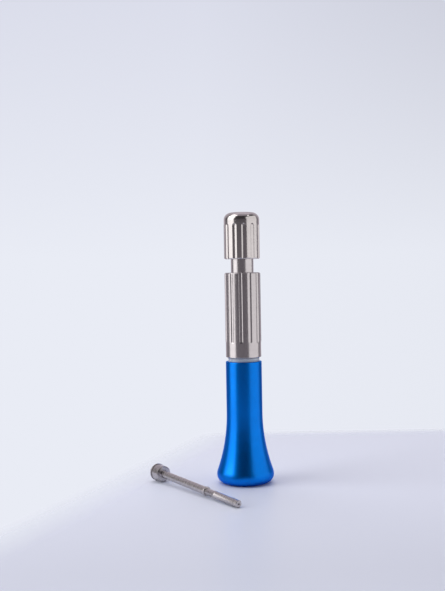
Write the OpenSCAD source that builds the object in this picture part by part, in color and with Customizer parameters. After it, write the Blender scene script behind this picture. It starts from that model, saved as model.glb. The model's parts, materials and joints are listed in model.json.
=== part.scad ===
// Watchmaker's hand driver with a swivel palm grip, shown standing on its foot,
// and its exchangeable bit, which lies beside it on the same surface.
// Millimetres. Origin at the centre of the foot, +Z up the axis of the tool.

/* [Palm grip] */
// Radius of the straight tube of the grip, also the outer radius of the fluted barrel
tube_r = 6.0; // [5.9:0.05:6.4]
// Height of the grip
grip_h = 40.6; // [40:0.1:44]
// Radius of the flared foot at its widest
flare_r = 9.54; // [9.0:0.02:10.2]
// Height of the widest point, also the radius of the rounding under it
flare_z = 2.85; // [2.4:0.05:3.2]
// Radius of the rounding above the widest point
flare_edge_r = 4.4; // [3.6:0.1:5]
// Radius of the long hollow sweep up the side
sweep_r = 57; // [45:1:70]

/* [Thrust washer] */
// Thickness of the white slip washer between grip and barrel
washer_t = 1.2; // [0.8:0.1:2]
// Outer radius of the slip washer
washer_r = 5.25; // [5:0.05:5.6]

/* [Fluted barrel] */
// Height of the barrel
barrel_h = 28.5; // [26:0.1:32]
// Radius of the plain band at its lower end
band_r = 5.93; // [5.8:0.01:5.98]
// Height at which the flutes begin, above the lower edge
band_h = 5.08; // [4:0.02:8]
// Number of flutes on the barrel and on the cap
flutes = 12; // [8:1:14]
// Radius of the ball cutter for the barrel's flutes
barrel_cut_r = 1.15; // [1:0.05:1.5]
// Depth of the barrel's flutes
barrel_cut_d = 0.2; // [0.1:0.01:0.25]
// Turn of the barrel's first flute from the front
barrel_turn = -8.0; // [-15:0.5:15]

/* [Spindle] */
// Radius of the neck between barrel and cap
neck_r = 3.8; // [3.6:0.05:4]
// Visible length of the neck
neck_h = 4.5; // [3.5:0.1:6]
// Radius of the journal in the ball bearings
journal_r = 2.0; // [2:0.5:2]
// Radius of the threaded nose
nose_r = 4.5; // [4.4:0.05:4.6]

/* [Nose cap] */
// Outer radius of the cap
cap_r = 5.97; // [5.9:0.01:6.2]
// Height of the cap
cap_h = 15.5; // [15:0.1:17]
// Radius of the cap's domed edge
dome_r = 2.5; // [2:0.1:3]
// Radius of the ball cutter for the cap's flutes
cap_cut_r = 1.6; // [1.2:0.05:2.0]
// Depth of the cap's flutes
cap_cut_d = 0.22; // [0.1:0.01:0.25]
// Height of the upper ends of the cap's flutes, above its lower edge
cap_flute_h = 11.72; // [10:0.02:12]
// Turn of the cap's first flute from the front
cap_turn = 5.2; // [-15:0.5:15]
// Radius of the nose hole that lets the bit through
nose_hole_r = 1.75; // [1.7:0.01:1.85]

/* [Bit] */
// Length of the bit
bit_len = 47.1; // [40:0.1:60]
// Radius of the flange on the bit's head
flange_r = 2.85; // [2.8:0.01:2.87]
// Radius of the drum of the head
drum_r = 2.65; // [2.5:0.01:2.7]
// Length of the head
head_len = 4.3; // [4.2:0.05:4.4]
// Radius of the shank
shank_r = 1.25; // [1.2:0.01:1.5]
// Radius of the stop collar
collar_r = 1.5; // [1.4:0.01:1.65]
// Radius of the tip section
tip_r = 1.15; // [1.1:0.01:1.35]
// Where the centre of the head's rear face lies beside the tool
bit_pos = [-30.0, 4.7];
// Direction in which the bit points, from +X
bit_dir = -54.9; // [-70:0.5:-40]

/* [Hidden] */

eps = 0.01;
over = 1;              // how far a cutter runs past the face it opens
fine = 96;             // facets named on round shapes
gap = 0.05;            // running clearance between parts that turn on each other

// Heights of the stack, from the table up
barrel_z = grip_h + washer_t + 0.03;
barrel_top = grip_h + washer_t + barrel_h;
cap_z = barrel_top + neck_h;
cap_top = cap_z + cap_h;

// Bearings: 4 x 8 x 3 mm, one under the lip of the grip and one further down
brg_r = 4.0;
brg_w = 3.0;
lip_t = 1.0;
lip_r = 3.3;
upper_z = grip_h - lip_t - brg_w;
brg_span = 20;
lower_z = upper_z - brg_span;
ball_r = 0.58;
ball_count = 7;
pitch_r = (journal_r + brg_r) / 2;
groove_r = ball_r + 0.04;
outer_land_r = 3.5;
inner_land_r = 2.5;

// Palm end
plug_r = 5.0;
plug_h = 3.0;
plug_bore_h = 4.0;
spigot_r = 4.0;
shim_t = 0.3;
circlip_t = 0.7;
circlip_z = lower_z - shim_t - circlip_t;

// Spindle
shoulder_r = 2.6;
seat_r = 3.0;
seat_play = 0.02;       // barrel and nut slide on over the seat
neck_seat_h = 1.1;
journal_end = lower_z + 0.2;
screw_r = 1.0;
screw_head_r = 1.9;
screw_head_h = 1.4;
screw_len = 6.6;
nut_z = barrel_z + 0.5;
nut_h = 2.1;
nut_bore_r = 4.4;

// Nose
nose_z = cap_z + 0.3;
nose_thread_h = 5.8;
nose_step_r = 3.6;
nose_top = nose_z + nose_thread_h + 1.0;
socket_r = flange_r + 0.07;
ring_z = nose_top + gap;
socket_z = ring_z - head_len;
key_l = 3.6;
key_w = 1.0;
key_root = 0.8;
key_h = 1.0;
slot_play = 0.1;
slot_d = key_h + 0.15;

// Clamp ring, its circlip and the pocket that holds them in the cap
ring_r = 4.05;
ring_h = 1.8;
ring_hole_r = 2.05;
tab_w = 1.2;
tab_r0 = 3.02;
tab_r1 = 3.54;
tab_h = 1.1;
cap_pocket_roof = ring_z + ring_h + gap;
clamp_clip_t = 0.46;
clamp_clip_z = ring_z - 0.07 - clamp_clip_t;
clamp_clip_r = 4.75;

// Bit, along its own +Z from the rear face of its head
rim_t = 0.4;
step_z = 29.4;
collar_z = step_z + gap;
collar_t = 0.8;
neck_end = 34.3;
bead_end = 35.6;
bead_r = 1.2;
bit_neck_r = 1.1;
tenon_r = 1.1;
stub_r = 0.8;
stub_len = 5;
tip_edge = 0.2;
// The flange and the end of the tip touch the table, so the bit tilts a little
bit_tilt = atan((flange_r - tip_r) / (bit_len - tip_edge - rim_t));
bit_h = rim_t * sin(bit_tilt) + flange_r * cos(bit_tilt);

module tube(r_out, r_in, h) {
    difference() {
        cylinder(r = r_out, h = h, $fn = fine);
        translate([0, 0, -over]) cylinder(r = r_in, h = h + 2 * over, $fn = fine);
    }
}

// A cylinder with both edges broken by small chamfers
module chamfered(r, h, c) {
    rotate_extrude($fn = fine)
        polygon([[0, 0], [r - c, 0], [r, c], [r, h - c], [r - c, h], [0, h]]);
}

// One ball-nosed groove cut along Z, with its round end at z = 0
module flute_cutter(cut_r, length, towards) {
    sphere(r = cut_r, $fn = 48);
    mirror([0, 0, towards < 0 ? 1 : 0])
        cylinder(r = cut_r, h = length, $fn = 48);
}

// Places its children on the flutes, the first one turned from the front
module on_flutes(radius, turn) {
    for (i = [0 : flutes - 1])
        rotate(-90 + turn + i * 360 / flutes) translate([radius, 0, 0]) children();
}

// Lays the bit down beside the tool, resting on its flange and its tip
module lay_bit() {
    translate([bit_pos[0], bit_pos[1], bit_h])
        rotate([0, 0, bit_dir])
            rotate([0, 90 + bit_tilt, 0]) children();
}

// ---- palm grip and what it holds -------------------------------------------

// Outline of the grip: straight tube, hollow sweep, rounded foot
module grip_outline() {
    edge_x = flare_r - flare_edge_r;
    sweep_x = tube_r + sweep_r;
    sweep_z = flare_z + sqrt(pow(sweep_r + flare_edge_r, 2) - pow(sweep_x - edge_x, 2));
    lean = atan((sweep_z - flare_z) / (sweep_x - edge_x));
    meet_x = edge_x + flare_edge_r * cos(lean);
    meet_z = flare_z + flare_edge_r * sin(lean);
    square([tube_r, grip_h - 0.15]);
    square([tube_r - 0.15, grip_h]);
    difference() {
        translate([0, meet_z]) square([meet_x, sweep_z - meet_z]);
        translate([sweep_x, sweep_z]) circle(r = sweep_r, $fn = 360);
    }
    square([edge_x, meet_z]);
    intersection() {
        translate([edge_x, flare_z]) circle(r = flare_edge_r, $fn = fine);
        translate([0, flare_z]) square([flare_r + over, meet_z - flare_z]);
    }
    intersection() {
        translate([flare_r - flare_z, flare_z]) circle(r = flare_z, $fn = fine);
        square([flare_r + over, flare_z]);
    }
    square([flare_r - flare_z, flare_z]);
}

module palm_grip() {
    color("royalblue") difference() {
        rotate_extrude($fn = fine) grip_outline();
        translate([0, 0, -over]) cylinder(r = plug_r, h = plug_bore_h + over, $fn = fine);
        cylinder(r = brg_r, h = grip_h - lip_t, $fn = fine);
        translate([0, 0, grip_h - lip_t - eps]) cylinder(r = lip_r, h = lip_t + over, $fn = fine);
        translate([0, 0, circlip_z]) cylinder(r = brg_r + 0.4, h = circlip_t, $fn = fine);
    }
}

module base_plug() {
    color("royalblue") difference() {
        union() {
            cylinder(r = plug_r, h = plug_h, $fn = fine);
            cylinder(r = spigot_r, h = plug_h + 1.2, $fn = fine);
        }
        for (side = [-1, 1])
            translate([3 * side, 0, -over]) cylinder(r = 0.6, h = 1.4 + over, $fn = 32);
    }
}

module plug_seal() {
    color("dimgray") translate([0, 0, plug_h + 0.5])
        rotate_extrude($fn = fine) translate([(plug_r + spigot_r) / 2, 0]) circle(r = 0.48, $fn = 32);
}

module thrust_washer() {
    color("whitesmoke") translate([0, 0, grip_h]) tube(washer_r, 2.9, washer_t);
}

// Ball bearing ring with its ball groove
module outer_ring(z) {
    color("lightgray") translate([0, 0, z]) rotate_extrude($fn = fine) difference() {
        translate([outer_land_r, 0]) square([brg_r - outer_land_r, brg_w]);
        translate([pitch_r, brg_w / 2]) circle(r = groove_r, $fn = 48);
    }
}

module inner_ring(z) {
    color("lightgray") translate([0, 0, z]) rotate_extrude($fn = fine) difference() {
        translate([journal_r, 0]) square([inner_land_r - journal_r, brg_w]);
        translate([pitch_r, brg_w / 2]) circle(r = groove_r, $fn = 48);
    }
}

module shields(z) {
    color("silver") for (dz = [0.1, brg_w - 0.3])
        translate([0, 0, z + dz]) tube(outer_land_r, inner_land_r + 0.1, 0.2);
}

module balls(z) {
    color("gainsboro") for (i = [0 : ball_count - 1])
        rotate(i * 360 / ball_count) translate([pitch_r, 0, z + brg_w / 2]) sphere(r = ball_r, $fn = 32);
}

// Crown that keeps the balls apart
module cage(z) {
    color("goldenrod") difference() {
        translate([0, 0, z + brg_w / 2 - 0.8]) tube(pitch_r + 0.2, pitch_r - 0.2, 1.6);
        for (i = [0 : ball_count - 1])
            rotate(i * 360 / ball_count) translate([pitch_r - 1, 0, z + brg_w / 2])
                rotate([0, 90, 0]) cylinder(r = groove_r, h = 2, $fn = 32);
    }
}

module upper_outer_ring() { outer_ring(upper_z); }
module lower_outer_ring() { outer_ring(lower_z); }
module upper_inner_ring() { inner_ring(upper_z); }
module lower_inner_ring() { inner_ring(lower_z); }
module upper_shields() { shields(upper_z); }
module lower_shields() { shields(lower_z); }
module upper_balls() { balls(upper_z); }
module lower_balls() { balls(lower_z); }
module upper_cage() { cage(upper_z); }
module lower_cage() { cage(lower_z); }

module outer_spacer() {
    color("silver") translate([0, 0, lower_z + brg_w]) tube(brg_r, 3.6, brg_span - brg_w);
}

module inner_spacer() {
    color("silver") translate([0, 0, lower_z + brg_w]) tube(inner_land_r, journal_r, brg_span - brg_w);
}

module preload_shim() {
    color("darkgray") translate([0, 0, lower_z - shim_t]) tube(brg_r, 3.4, shim_t);
}

// Internal circlip, open at the front with an eye at each end
module bearing_circlip() {
    color("gray") translate([0, 0, circlip_z]) difference() {
        tube(brg_r + 0.4, 3.1, circlip_t);
        translate([-0.7, -brg_r - over, -over]) cube([1.4, 2.4, circlip_t + 2 * over]);
        for (side = [-1, 1])
            rotate(-90 + 17 * side) translate([3.7, 0, -over]) cylinder(r = 0.25, h = circlip_t + 2 * over, $fn = 24);
    }
}

// ---- spindle and what turns with it ----------------------------------------

module spindle() {
    neck_z = barrel_top - neck_seat_h;
    color("silver") difference() {
        union() {
            translate([0, 0, journal_end])
                cylinder(r = journal_r, h = grip_h - lip_t - journal_end, $fn = fine);
            translate([0, 0, grip_h - lip_t])
                cylinder(r = shoulder_r, h = barrel_z + 0.3 - grip_h + lip_t, $fn = fine);
            translate([0, 0, barrel_z + 0.3])
                cylinder(r = seat_r, h = neck_z - barrel_z - 0.3, $fn = fine);
            translate([0, 0, neck_z]) cylinder(r = neck_r, h = nose_z - neck_z, $fn = fine);
            translate([0, 0, nose_z]) chamfered(nose_r, nose_thread_h, 0.3);
            translate([0, 0, nose_z]) cylinder(r = nose_step_r, h = nose_top - nose_z, $fn = fine);
        }
        translate([0, 0, socket_z]) cylinder(r = socket_r, h = nose_top, $fn = fine);
        translate([0, 0, journal_end - over]) cylinder(r = screw_r, h = screw_len + over, $fn = 48);
        translate([-key_l / 2, -key_w / 2, socket_z - key_root]) cube([key_l, key_w, key_root + over]);
        translate([-nose_step_r - over, -tab_w / 2 - 0.1, nose_top - tab_h - 0.2])
            cube([2 * (nose_step_r + over), tab_w + 0.2, tab_h + over]);
        dowel_at() cylinder(r = 0.3, h = 3.2, center = true, $fn = 24);
    }
}

// Where the dowel crosses from the barrel into the shoulder of the neck
module dowel_at() {
    translate([0, 3.4, barrel_top - neck_seat_h]) children();
}

module fluted_barrel() {
    edge = 0.35;
    top = barrel_top - barrel_z;
    step = band_h + 0.42;
    run_in = sqrt(pow(barrel_cut_r, 2) - pow(tube_r + barrel_cut_r - barrel_cut_d - band_r, 2));
    color("lightgray") difference() {
        translate([0, 0, barrel_z]) rotate_extrude($fn = fine)
            polygon([[0, 0], [band_r - 1.6 * edge, 0], [band_r, edge], [band_r, step], [tube_r, step],
                     [tube_r, top - edge], [tube_r - edge, top], [0, top]]);
        translate([0, 0, barrel_z - over])
            cylinder(r = seat_r + seat_play, h = barrel_h + 2 * over, $fn = fine);
        translate([0, 0, barrel_z - over]) cylinder(r = nut_bore_r, h = nut_z + nut_h - barrel_z + over, $fn = fine);
        translate([0, 0, barrel_top - neck_seat_h]) cylinder(r = neck_r, h = neck_seat_h + over, $fn = fine);
        translate([0, 0, barrel_z + band_h + run_in])
            on_flutes(tube_r + barrel_cut_r - barrel_cut_d, barrel_turn)
                flute_cutter(barrel_cut_r, barrel_h, 1);
        dowel_at() cylinder(r = 0.3, h = 3.2, center = true, $fn = 24);
    }
}

module barrel_nut() {
    color("gray") difference() {
        translate([0, 0, nut_z]) tube(nut_bore_r - 0.1, seat_r + seat_play, nut_h);
        translate([-nut_bore_r, -0.5, nut_z - over]) cube([2 * nut_bore_r, 1, 0.8 + over]);
    }
}

module barrel_dowel() {
    color("dimgray") dowel_at() translate([0, 0, -1.5]) cylinder(r = 0.3, h = 2.6, $fn = 24);
}

module retaining_washer() {
    color("gray") translate([0, 0, lower_z - 0.7]) tube(shoulder_r, screw_r, 0.7);
}

module retaining_screw() {
    head_z = lower_z - 0.7 - screw_head_h;
    color("dimgray") difference() {
        union() {
            translate([0, 0, head_z]) chamfered(screw_head_r, screw_head_h, 0.2);
            translate([0, 0, head_z + eps]) cylinder(r = screw_r, h = screw_head_h + screw_len, $fn = 48);
        }
        translate([-screw_head_r - over, -0.25, head_z - over]) cube([2 * (screw_head_r + over), 0.5, 0.6 + over]);
    }
}

// Tongue in the floor of the socket that turns the slotted head of the bit
module drive_key() {
    color("dimgray") translate([-key_l / 2, -key_w / 2, socket_z - key_root])
        cube([key_l, key_w, key_root + key_h]);
}

// ---- nose cap ----------------------------------------------------------------

// Ring that presses on the bit's head, kept from turning by two tabs in the nose
module clamp_ring() {
    color("gray") difference() {
        union() {
            translate([0, 0, ring_z]) cylinder(r = ring_r, h = ring_h, $fn = fine);
            for (side = [0, 180]) rotate(side)
                translate([tab_r0, -tab_w / 2, ring_z - tab_h]) cube([tab_r1 - tab_r0, tab_w, tab_h + 0.5]);
        }
        translate([0, 0, ring_z - over]) cylinder(r = ring_hole_r, h = ring_h + 2 * over, $fn = 48);
    }
}

module clamp_circlip() {
    color("dimgray") translate([0, 0, clamp_clip_z]) difference() {
        tube(clamp_clip_r, nose_step_r + 0.2, clamp_clip_t);
        translate([-0.8, -clamp_clip_r - over, -over]) cube([1.6, 2.4, clamp_clip_t + 2 * over]);
    }
}

module nose_cap() {
    edge = 0.3;
    run_out = sqrt(pow(cap_cut_r, 2) - pow(cap_cut_r - cap_cut_d, 2));
    color("gainsboro") difference() {
        translate([0, 0, cap_z]) rotate_extrude($fn = fine) {
            polygon([[0, 0], [cap_r - edge, 0], [cap_r, edge], [cap_r, cap_h - dome_r], [0, cap_h - dome_r]]);
            translate([0, cap_h - dome_r - eps]) square([cap_r - dome_r, dome_r + eps]);
            intersection() {
                translate([cap_r - dome_r, cap_h - dome_r]) circle(r = dome_r, $fn = fine);
                translate([0, cap_h - dome_r - eps]) square([cap_r, dome_r + 2 * eps]);
            }
        }
        translate([0, 0, cap_z - over])
            cylinder(r = nose_r + gap, h = clamp_clip_z - 0.1 - cap_z + over, $fn = fine);
        translate([0, 0, clamp_clip_z - 0.1 - eps])
            cylinder(r = ring_r + gap, h = cap_pocket_roof - clamp_clip_z + 0.1 + eps, $fn = fine);
        translate([0, 0, clamp_clip_z]) cylinder(r = clamp_clip_r, h = clamp_clip_t, $fn = fine);
        translate([0, 0, cap_z]) cylinder(r = nose_hole_r, h = cap_h + over, $fn = fine);
        translate([0, 0, cap_top - 0.5])
            cylinder(r1 = nose_hole_r, r2 = nose_hole_r + 0.5 + eps, h = 0.5 + eps, $fn = fine);
        translate([0, 0, cap_z + cap_flute_h - run_out])
            on_flutes(cap_r + cap_cut_r - cap_cut_d, cap_turn) flute_cutter(cap_cut_r, cap_h, -1);
    }
}

// ---- bit -----------------------------------------------------------------------

module bit_head() {
    chamfer = 0.3;
    color("silver") lay_bit() difference() {
        rotate_extrude($fn = fine) polygon([
            [0, 0], [flange_r - 0.1, 0], [flange_r, 0.1], [flange_r, rim_t], [drum_r - 0.15, rim_t],
            [drum_r - 0.15, rim_t + 0.35], [drum_r, rim_t + 0.35], [drum_r, head_len - 1.1],
            [drum_r - 0.12, head_len - 1.0], [drum_r - 0.12, head_len - 0.85], [drum_r, head_len - 0.75],
            [drum_r, head_len - chamfer], [drum_r - chamfer, head_len], [0, head_len]]);
        translate([0, 0, slot_d]) cylinder(r = tenon_r, h = head_len, $fn = 48);
        translate([-key_l / 2 - slot_play, -key_w / 2 - slot_play, -over])
            cube([key_l + 2 * slot_play, key_w + 2 * slot_play, slot_d + over]);
    }
}

module bit_shank() {
    round_r = 0.12;
    round_z = step_z - round_r;
    color("silver") lay_bit() difference() {
        union() {
            translate([0, 0, slot_d]) cylinder(r = tenon_r, h = head_len - slot_d + eps, $fn = 48);
            rotate_extrude($fn = fine) {
                translate([0, head_len]) square([shank_r, round_z - head_len]);
                translate([0, round_z - eps]) square([shank_r - round_r, round_r + eps]);
                intersection() {
                    translate([shank_r - round_r, round_z]) circle(r = round_r, $fn = 32);
                    translate([0, round_z - eps]) square([shank_r, round_r + 2 * eps]);
                }
            }
        }
        translate([0, 0, step_z - stub_len]) cylinder(r = stub_r, h = stub_len + over, $fn = 48);
    }
}

// Split collar at the end of the shank, open towards the table
module bit_collar() {
    color("gray") lay_bit() translate([0, 0, collar_z]) difference() {
        tube(collar_r, bit_neck_r, collar_t);
        translate([bit_neck_r - 0.5, -0.3, -over]) cube([2, 0.6, collar_t + 2 * over]);
    }
}

module bit_tip() {
    color("silver") lay_bit() difference() {
        rotate_extrude($fn = fine) polygon([
            [0, step_z - stub_len], [stub_r, step_z - stub_len], [stub_r, step_z], [bit_neck_r, step_z],
            [bit_neck_r, neck_end], [bead_r, neck_end + 0.2], [bead_r, bead_end - 0.25],
            [tip_r, bead_end], [tip_r, bit_len - 2.0], [tip_r - 0.08, bit_len - 1.9],
            [tip_r - 0.08, bit_len - 1.7], [tip_r, bit_len - 1.6], [tip_r, bit_len - tip_edge],
            [tip_r - tip_edge, bit_len], [0, bit_len]]);
        translate([0, 0, bit_len - 1]) cylinder(r = 0.3, h = 1 + over, $fn = 24);
    }
}

palm_grip();
base_plug();
plug_seal();
thrust_washer();
upper_outer_ring();
upper_shields();
lower_outer_ring();
lower_shields();
outer_spacer();
preload_shim();
bearing_circlip();
spindle();
fluted_barrel();
barrel_nut();
barrel_dowel();
upper_inner_ring();
lower_inner_ring();
inner_spacer();
retaining_washer();
retaining_screw();
drive_key();
upper_balls();
upper_cage();
lower_balls();
lower_cage();
clamp_ring();
nose_cap();
clamp_circlip();
bit_head();
bit_shank();
bit_collar();
bit_tip();
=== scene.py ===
import json
import math

import bmesh
import bpy
from mathutils import Matrix, Vector


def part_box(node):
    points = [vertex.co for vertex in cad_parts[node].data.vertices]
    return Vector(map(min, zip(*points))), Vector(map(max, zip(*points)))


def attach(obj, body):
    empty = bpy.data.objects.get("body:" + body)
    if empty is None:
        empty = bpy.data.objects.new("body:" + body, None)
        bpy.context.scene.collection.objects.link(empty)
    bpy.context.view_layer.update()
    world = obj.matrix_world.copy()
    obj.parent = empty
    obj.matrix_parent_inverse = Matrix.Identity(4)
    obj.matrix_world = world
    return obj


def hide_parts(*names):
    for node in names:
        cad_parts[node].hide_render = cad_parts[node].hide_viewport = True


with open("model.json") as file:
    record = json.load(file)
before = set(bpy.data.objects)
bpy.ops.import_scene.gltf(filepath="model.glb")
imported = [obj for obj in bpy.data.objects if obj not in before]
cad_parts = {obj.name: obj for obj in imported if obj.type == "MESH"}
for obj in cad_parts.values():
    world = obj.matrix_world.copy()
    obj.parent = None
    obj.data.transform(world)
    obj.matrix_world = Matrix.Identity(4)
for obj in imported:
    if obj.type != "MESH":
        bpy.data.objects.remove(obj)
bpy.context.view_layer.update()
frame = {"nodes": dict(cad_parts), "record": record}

bl_info = {
    "name": "Watchmaker's Hand Driver",
    "version": (1, 0, 0),
    "blender": (4, 5, 0),
    "location": "View3D > Sidebar > Hand Driver",
    "description": "Builds a watchmaker's hand driver with a swivel palm grip, and its loose bit",
    "category": "Add Mesh",
}

MM = 0.001
MICRON = 0.000001

# Edges sharper than this stay sharp
CREASE = math.radians(38)

# Columns of faces in one flute and the land beside it
STEPS_PER_FLUTE = 24

# The bit lies on the rim of its flange and on the chamfer of its tip, given here in millimetres
FLANGE_RIM = 0.4
TIP_CHAMFER = 0.2


# ---- sizes that the frame gives ------------------------------------------------


def low(node):
    """Lowest corner of a CAD node, in metres."""
    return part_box(node)[0]


def high(node):
    """Highest corner of a CAD node, in metres."""
    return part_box(node)[1]


# ---- properties ----------------------------------------------------------------


def length(name, description, default):
    """A length property, in metres."""
    return bpy.props.FloatProperty(
        name=name, description=description, default=default, unit="LENGTH", precision=5
    )


def angle(name, description, degrees):
    """An angle property whose default is given in degrees."""
    return bpy.props.FloatProperty(
        name=name, description=description, default=math.radians(degrees), subtype="ANGLE"
    )


def tint(name, description, default):
    """A colour property."""
    return bpy.props.FloatVectorProperty(
        name=name, description=description, default=default, subtype="COLOR", size=3, min=0.0, max=1.0
    )


def share(name, description, default, top=1.0):
    """A factor from 0 to top."""
    return bpy.props.FloatProperty(
        name=name, description=description, default=default, min=0.0, max=top, subtype="FACTOR"
    )


class DRIVER_PG_sizes(bpy.types.PropertyGroup):
    """Sizes of the driver's pieces"""

    tube_r: length("Tube radius", "Radius of the grip's tube and of the barrel", high("fluted_barrel").x)
    flare_r: length("Foot radius", "Radius of the grip's flared foot", high("palm_grip").x)
    flare_z: length("Foot rounding", "Height of the widest point and rounding under it", 2.85 * MM)
    flare_edge_r: length("Edge radius", "Radius of the rounding above the widest point", 4.4 * MM)
    sweep_r: length("Sweep radius", "Radius of the long hollow sweep up the grip", 57 * MM)
    band_r: length("Band radius", "Radius of the plain band under the barrel's flutes", 5.93 * MM)
    band_h: length("Band height", "Height at which the barrel's flutes begin", 5.08 * MM)
    barrel_cut_r: length("Barrel flute cutter", "Radius of the ball cutter for the barrel", 1.15 * MM)
    barrel_cut_d: length("Barrel flute depth", "Depth of the barrel's flutes", 0.2 * MM)
    barrel_turn: angle("Barrel turn", "Turn of the barrel's first flute from the front", -8.0)
    cap_r: length("Cap radius", "Outer radius of the nose cap", high("nose_cap").x)
    dome_r: length("Dome radius", "Radius of the cap's domed edge", 2.5 * MM)
    cap_cut_r: length("Cap flute cutter", "Radius of the ball cutter for the cap", 1.6 * MM)
    cap_cut_d: length("Cap flute depth", "Depth of the cap's flutes", 0.22 * MM)
    cap_flute_h: length("Cap flute height", "Height of the flutes above the cap's edge", 11.72 * MM)
    cap_turn: angle("Cap turn", "Turn of the cap's first flute from the front", 5.2)
    flutes: bpy.props.IntProperty(name="Flutes", description="Number of flutes on barrel and cap", default=12)
    flute_ease: length("Flute edge", "How far the flutes' edges are broken", 0.03 * MM)
    neck_r: length("Neck radius", "Radius of the spindle's neck", 3.8 * MM)
    thread_pitch: length("Thread pitch", "Pitch of the thread between nose and cap", 0.75 * MM)
    thread_depth: length("Thread depth", "Depth of the thread's grooves", 0.3 * MM)
    bit_length: length("Bit length", "Length of the bit", 47.1 * MM)
    bit_shank_r: length("Shank radius", "Radius of the bit's shank", 1.25 * MM)
    bit_flange_r: length("Flange radius", "Radius of the flange on the bit's head", 2.85 * MM)
    bit_collar_r: length("Collar radius", "Radius of the split collar on the bit", 1.5 * MM)
    bit_tip_r: length("Tip radius", "Radius of the bit's tip section", 1.15 * MM)
    bit_x: length("Bit X", "Where the centre of the bit's rear face lies", -30.0 * MM)
    bit_y: length("Bit Y", "Where the centre of the bit's rear face lies", 4.7 * MM)
    bit_heading: angle("Bit heading", "Direction in which the bit points, from +X", -54.9)


class DRIVER_PG_finishes(bpy.types.PropertyGroup):
    """Colours and finishes of the driver's materials"""

    blue: tint("Blue anodising", "Colour of the dyed oxide on the palm grip", (0.0, 0.205, 0.79))
    barrel_nickel: tint("Barrel nickel", "Satin nickel plate on the barrel", (0.575, 0.54, 0.545))
    cap_nickel: tint("Cap nickel", "Bright nickel plate on the cap", (0.65, 0.61, 0.60))
    neck_nickel: tint("Neck nickel", "Fine turned nickel plate on the spindle", (0.63, 0.595, 0.60))
    nylon: tint("Slip washer", "Translucent white nylon", (0.62, 0.68, 0.76))
    bit_steel: tint("Bit steel", "Ground tool steel", (0.53, 0.495, 0.50))
    spring_steel: tint("Spring steel", "Oiled spring steel", (0.30, 0.30, 0.31))
    bearing_steel: tint("Bearing steel", "Polished bearing steel", (0.66, 0.67, 0.69))
    aluminium: tint("Aluminium", "Turned aluminium of the spacers", (0.72, 0.73, 0.74))
    brass: tint("Cage brass", "Drilled brass of the ball cages", (0.72, 0.52, 0.22))
    rubber: tint("Seal rubber", "Black rubber of the seal", (0.02, 0.02, 0.022))
    wear: share("Wear", "How far the edges are rubbed", 0.5)


class DRIVER_PG_stage(bpy.types.PropertyGroup):
    """Table, lights and camera"""

    table: tint("Table", "Colour of the pale table", (0.725, 0.765, 0.875))
    # Painted shade: the dim area's soft edge stands in for the edge of a broad shadow on the table.
    dim_back: length("Dim area, back", "Where the dimmer part of the table ends behind the tool", 0.09)
    dim_side: length("Dim area, side", "How far to the left of the tool it ends", 0.0395)
    dim_turn: angle("Dim area, turn", "How far its left edge is turned", -20.4)
    # Painted shade: the background colour higher up is darker than at the horizon.
    sweep_low: tint("Sweep, low", "Colour of the background at the horizon", (0.815, 0.838, 0.913))
    sweep_high: tint("Sweep, high", "Colour of the background higher up", (0.705, 0.722, 0.825))
    near_r: length("Near table", "Radius of the part of the table that shows in polished metal", 0.12)
    camera_x: length("Camera X", "Place of the camera", -0.00674)
    camera_y: length("Camera Y", "Place of the camera", -0.300)
    camera_z: length("Camera Z", "Place of the camera", 0.070)
    camera_pitch: angle("Camera pitch", "How far the camera looks down", 1.39)
    camera_roll: angle("Camera roll", "How far the camera leans", 0.98)
    camera_lens: bpy.props.FloatProperty(name="Lens", description="Focal length in mm", default=54.64)
    left_light: share("Left light", "Brightness of the softbox on the left", 1.3, 10.0)
    high_light: share("High light", "Brightness of the softbox high on the left", 1.7, 10.0)
    spot_light: share("Spot light", "Brightness of the small light high on the right", 2.5, 10.0)
    right_light: share("Right light", "Brightness of the softbox on the right", 0.85, 10.0)
    top_light: share("Top light", "Brightness of the soft ceiling light", 1.5, 10.0)
    room: share("Room", "Brightness of the rest of the room", 1.0, 10.0)


# ---- outlines ------------------------------------------------------------------


def arc(x, z, radius, start, end, steps):
    """Points on an arc about (x, z), from start to end in degrees."""
    turns = [math.radians(start + (end - start) * i / steps) for i in range(steps + 1)]
    return [(x + radius * math.cos(a), z + radius * math.sin(a)) for a in turns]


def rows(z_from, z_to, radius, count):
    """Extra points up a straight wall, without its two ends."""
    return [(radius, z_from + (z_to - z_from) * i / count) for i in range(1, count)]


def eased(corners, closed=True):
    """An outline as [r, z, worn]: a corner (r, z, ease) is rounded off and marked as a worn edge."""
    outline = []
    steps = 3
    count = len(corners)
    for i, corner in enumerate(corners):
        here = Vector(corner[:2])
        ease = corner[2] if len(corner) > 2 else 0.0
        if ease <= 0.0 or (not closed and i in (0, count - 1)):
            outline.append((here.x, here.y, 0.0))
            continue
        back = Vector(corners[i - 1][:2]) - here
        ahead = Vector(corners[(i + 1) % count][:2]) - here
        half = back.angle(ahead) / 2
        reach = ease / math.tan(half)
        centre = here + (back.normalized() + ahead.normalized()).normalized() * (ease / math.sin(half))
        start = here + back.normalized() * reach - centre
        end = here + ahead.normalized() * reach - centre
        sweep = start.angle_signed(end)
        guard = 0.5 * ease
        if back.length > reach + 2 * guard:
            outline.append((*(here + back.normalized() * (reach + guard)), 0.0))
        for k in range(steps + 1):
            spoke = start.copy()
            spoke.rotate(Matrix.Rotation(-sweep * k / steps, 2))
            outline.append((*(centre + spoke), 1.0 if 0 < k < steps else 0.6))
        if ahead.length > reach + 2 * guard:
            outline.append((*(here + ahead.normalized() * (reach + guard)), 0.0))
    return outline


# ---- turning, fluting, threading ------------------------------------------------


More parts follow.
